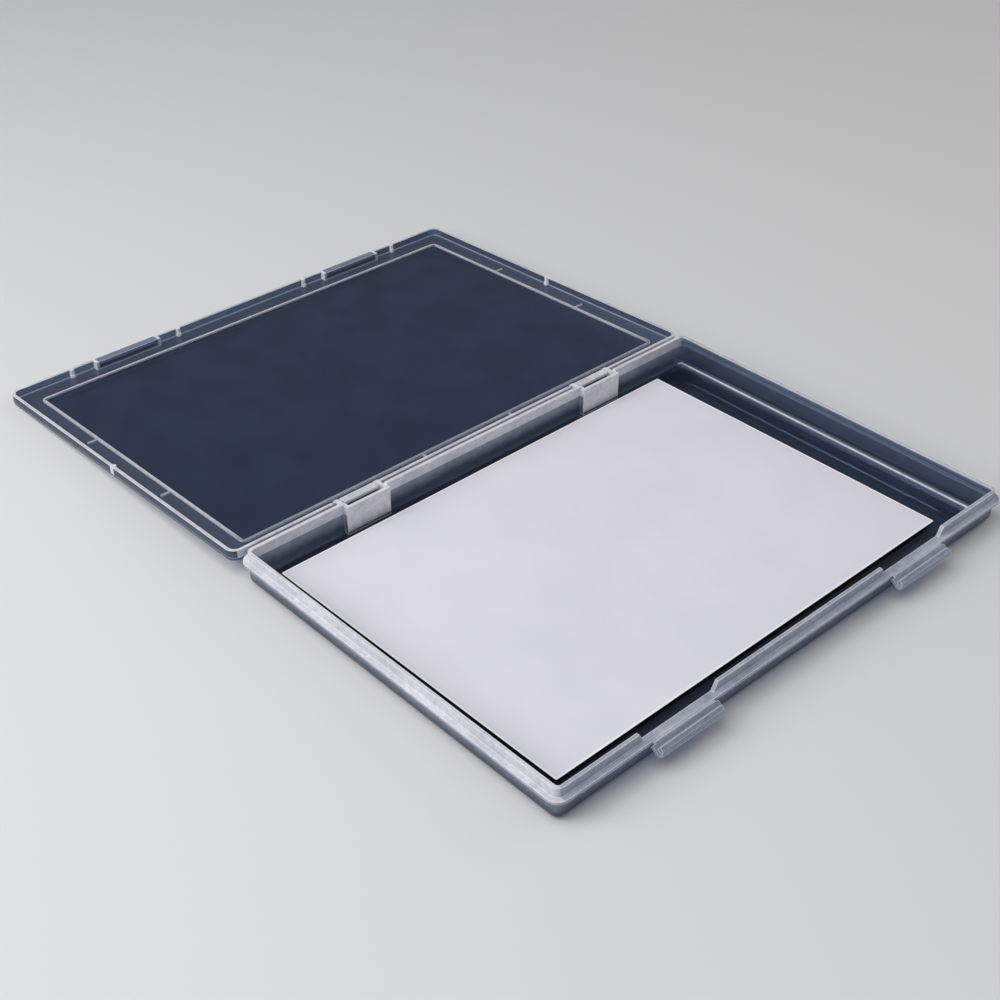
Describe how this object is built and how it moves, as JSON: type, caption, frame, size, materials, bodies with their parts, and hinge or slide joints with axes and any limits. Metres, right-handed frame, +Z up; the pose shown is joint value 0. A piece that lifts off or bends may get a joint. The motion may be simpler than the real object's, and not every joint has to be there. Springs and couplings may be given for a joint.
{
  "type": "wet palette",
  "caption": "Flat clear wet palette box lying open: moulded tray holding a sponge sheet and palette paper, with a snap-hinged lid and snap latches.",
  "frame": {"origin": "centre of the tray's flat foot, on the surface it stands on", "axes": "+X along the hinge line to the right as seen from the latch side, +Y from the latches to the hinge, +Z up"},
  "size_m": [0.248, 0.3512, 0.015],
  "materials": {
    "clear_plastic": "clear polypropylene, semi-gloss",
    "sponge": "fine open cellulose sponge",
    "palette_paper": "smooth semi-matt parchment"
  },
  "bodies": {
    "tray": {"base_tray": "clear_plastic"},
    "lid": {"lid": "clear_plastic"},
    "latch_left": {"latch_left": "clear_plastic"},
    "latch_right": {"latch_right": "clear_plastic"},
    "sponge": {"sponge_sheet": "sponge"},
    "paper": {"palette_paper": "palette_paper"}
  },
  "joints": [
    {"name": "lid_hinge", "type": "hinge", "parent": "tray", "child": "lid", "pos_m": [0, 0.0872, 0.0119], "axis": [1, 0, 0], "range_deg": [0, 182.45]},
    {"name": "latch_left_hinge", "type": "hinge", "parent": "tray", "child": "latch_left", "pos_m": [-0.065, -0.0866, 0.0105], "axis": [-1, 0, 0], "range_deg": [0, 126]},
    {"name": "latch_right_hinge", "type": "hinge", "parent": "tray", "child": "latch_right", "pos_m": [0.065, -0.0866, 0.0105], "axis": [-1, 0, 0], "range_deg": [0, 126]},
    {"name": "sponge_lift", "type": "slide", "parent": "tray", "child": "sponge", "axis": [0, 0, 1], "range_m": [0, 0.05]},
    {"name": "paper_lift", "type": "slide", "parent": "sponge", "child": "paper", "axis": [0, 0, 1], "range_m": [0, 0.03]}
  ]
}
